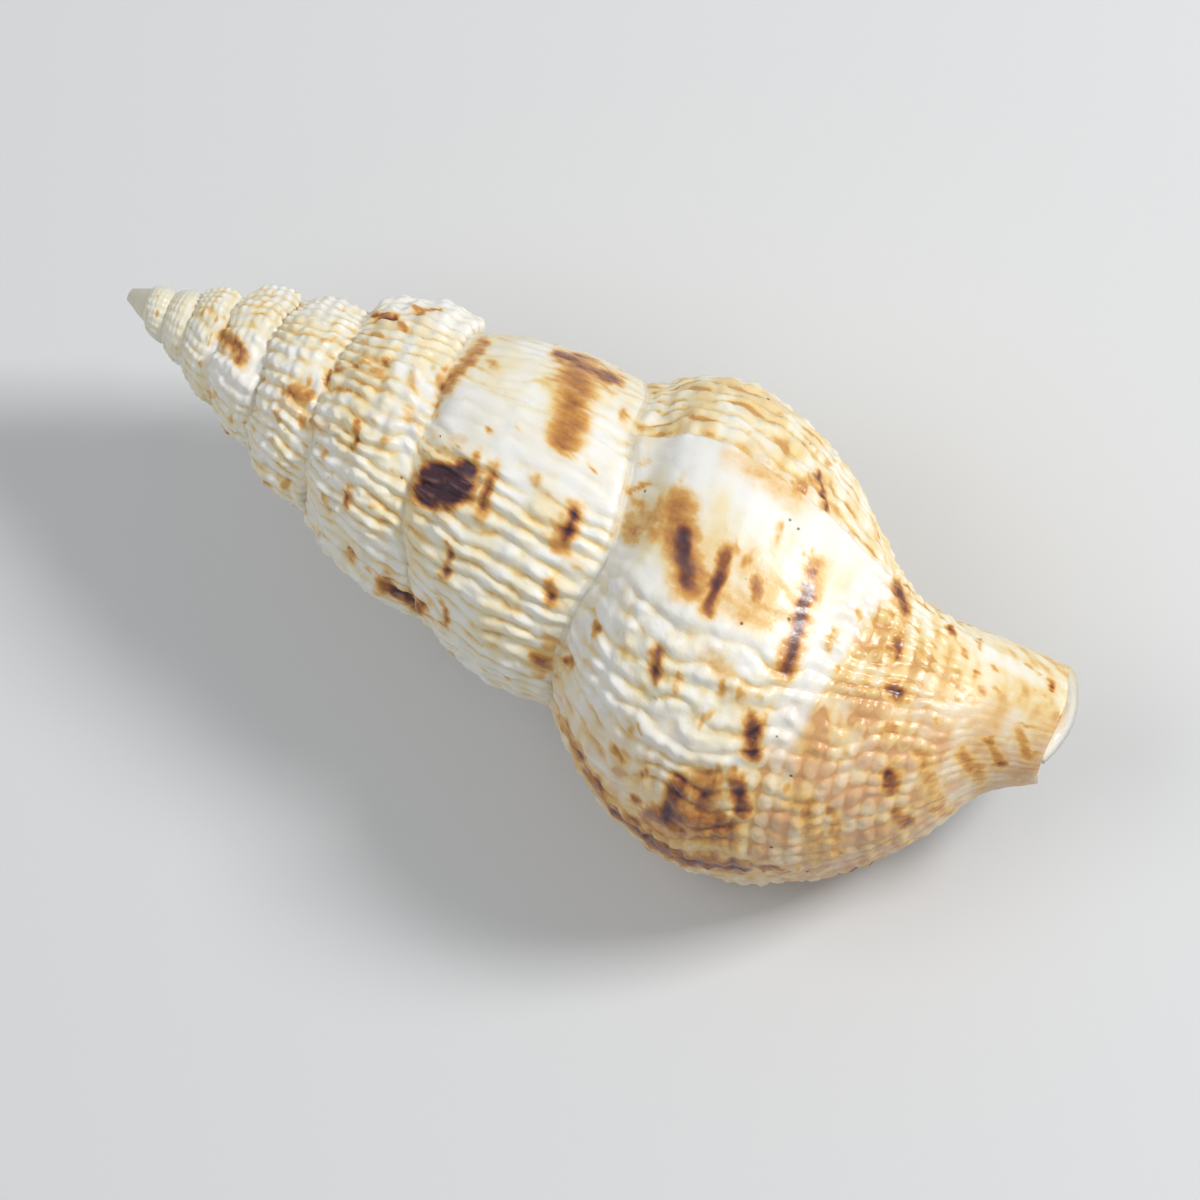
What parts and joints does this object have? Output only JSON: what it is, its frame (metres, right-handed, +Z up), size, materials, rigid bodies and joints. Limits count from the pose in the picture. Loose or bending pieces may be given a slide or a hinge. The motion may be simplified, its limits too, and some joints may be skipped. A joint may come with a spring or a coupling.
{
  "type": "seashell",
  "caption": "Tall spired sea snail shell with beaded whorls, brown blotches, a toothed mouth and a short canal, lying mouth down as a loose display piece.",
  "frame": {"origin": "centre of the shell's bounding box in plan, on the surface that it lies on", "axes": "+X along the shell from the tip towards the end of the canal, +Z up, away from the surface that it lies on"},
  "size_m": [0.0744, 0.0315, 0.0266],
  "materials": {
    "shell": "glossy"
  },
  "bodies": {
    "root": {"shell": "shell"}
  },
  "joints": []
}
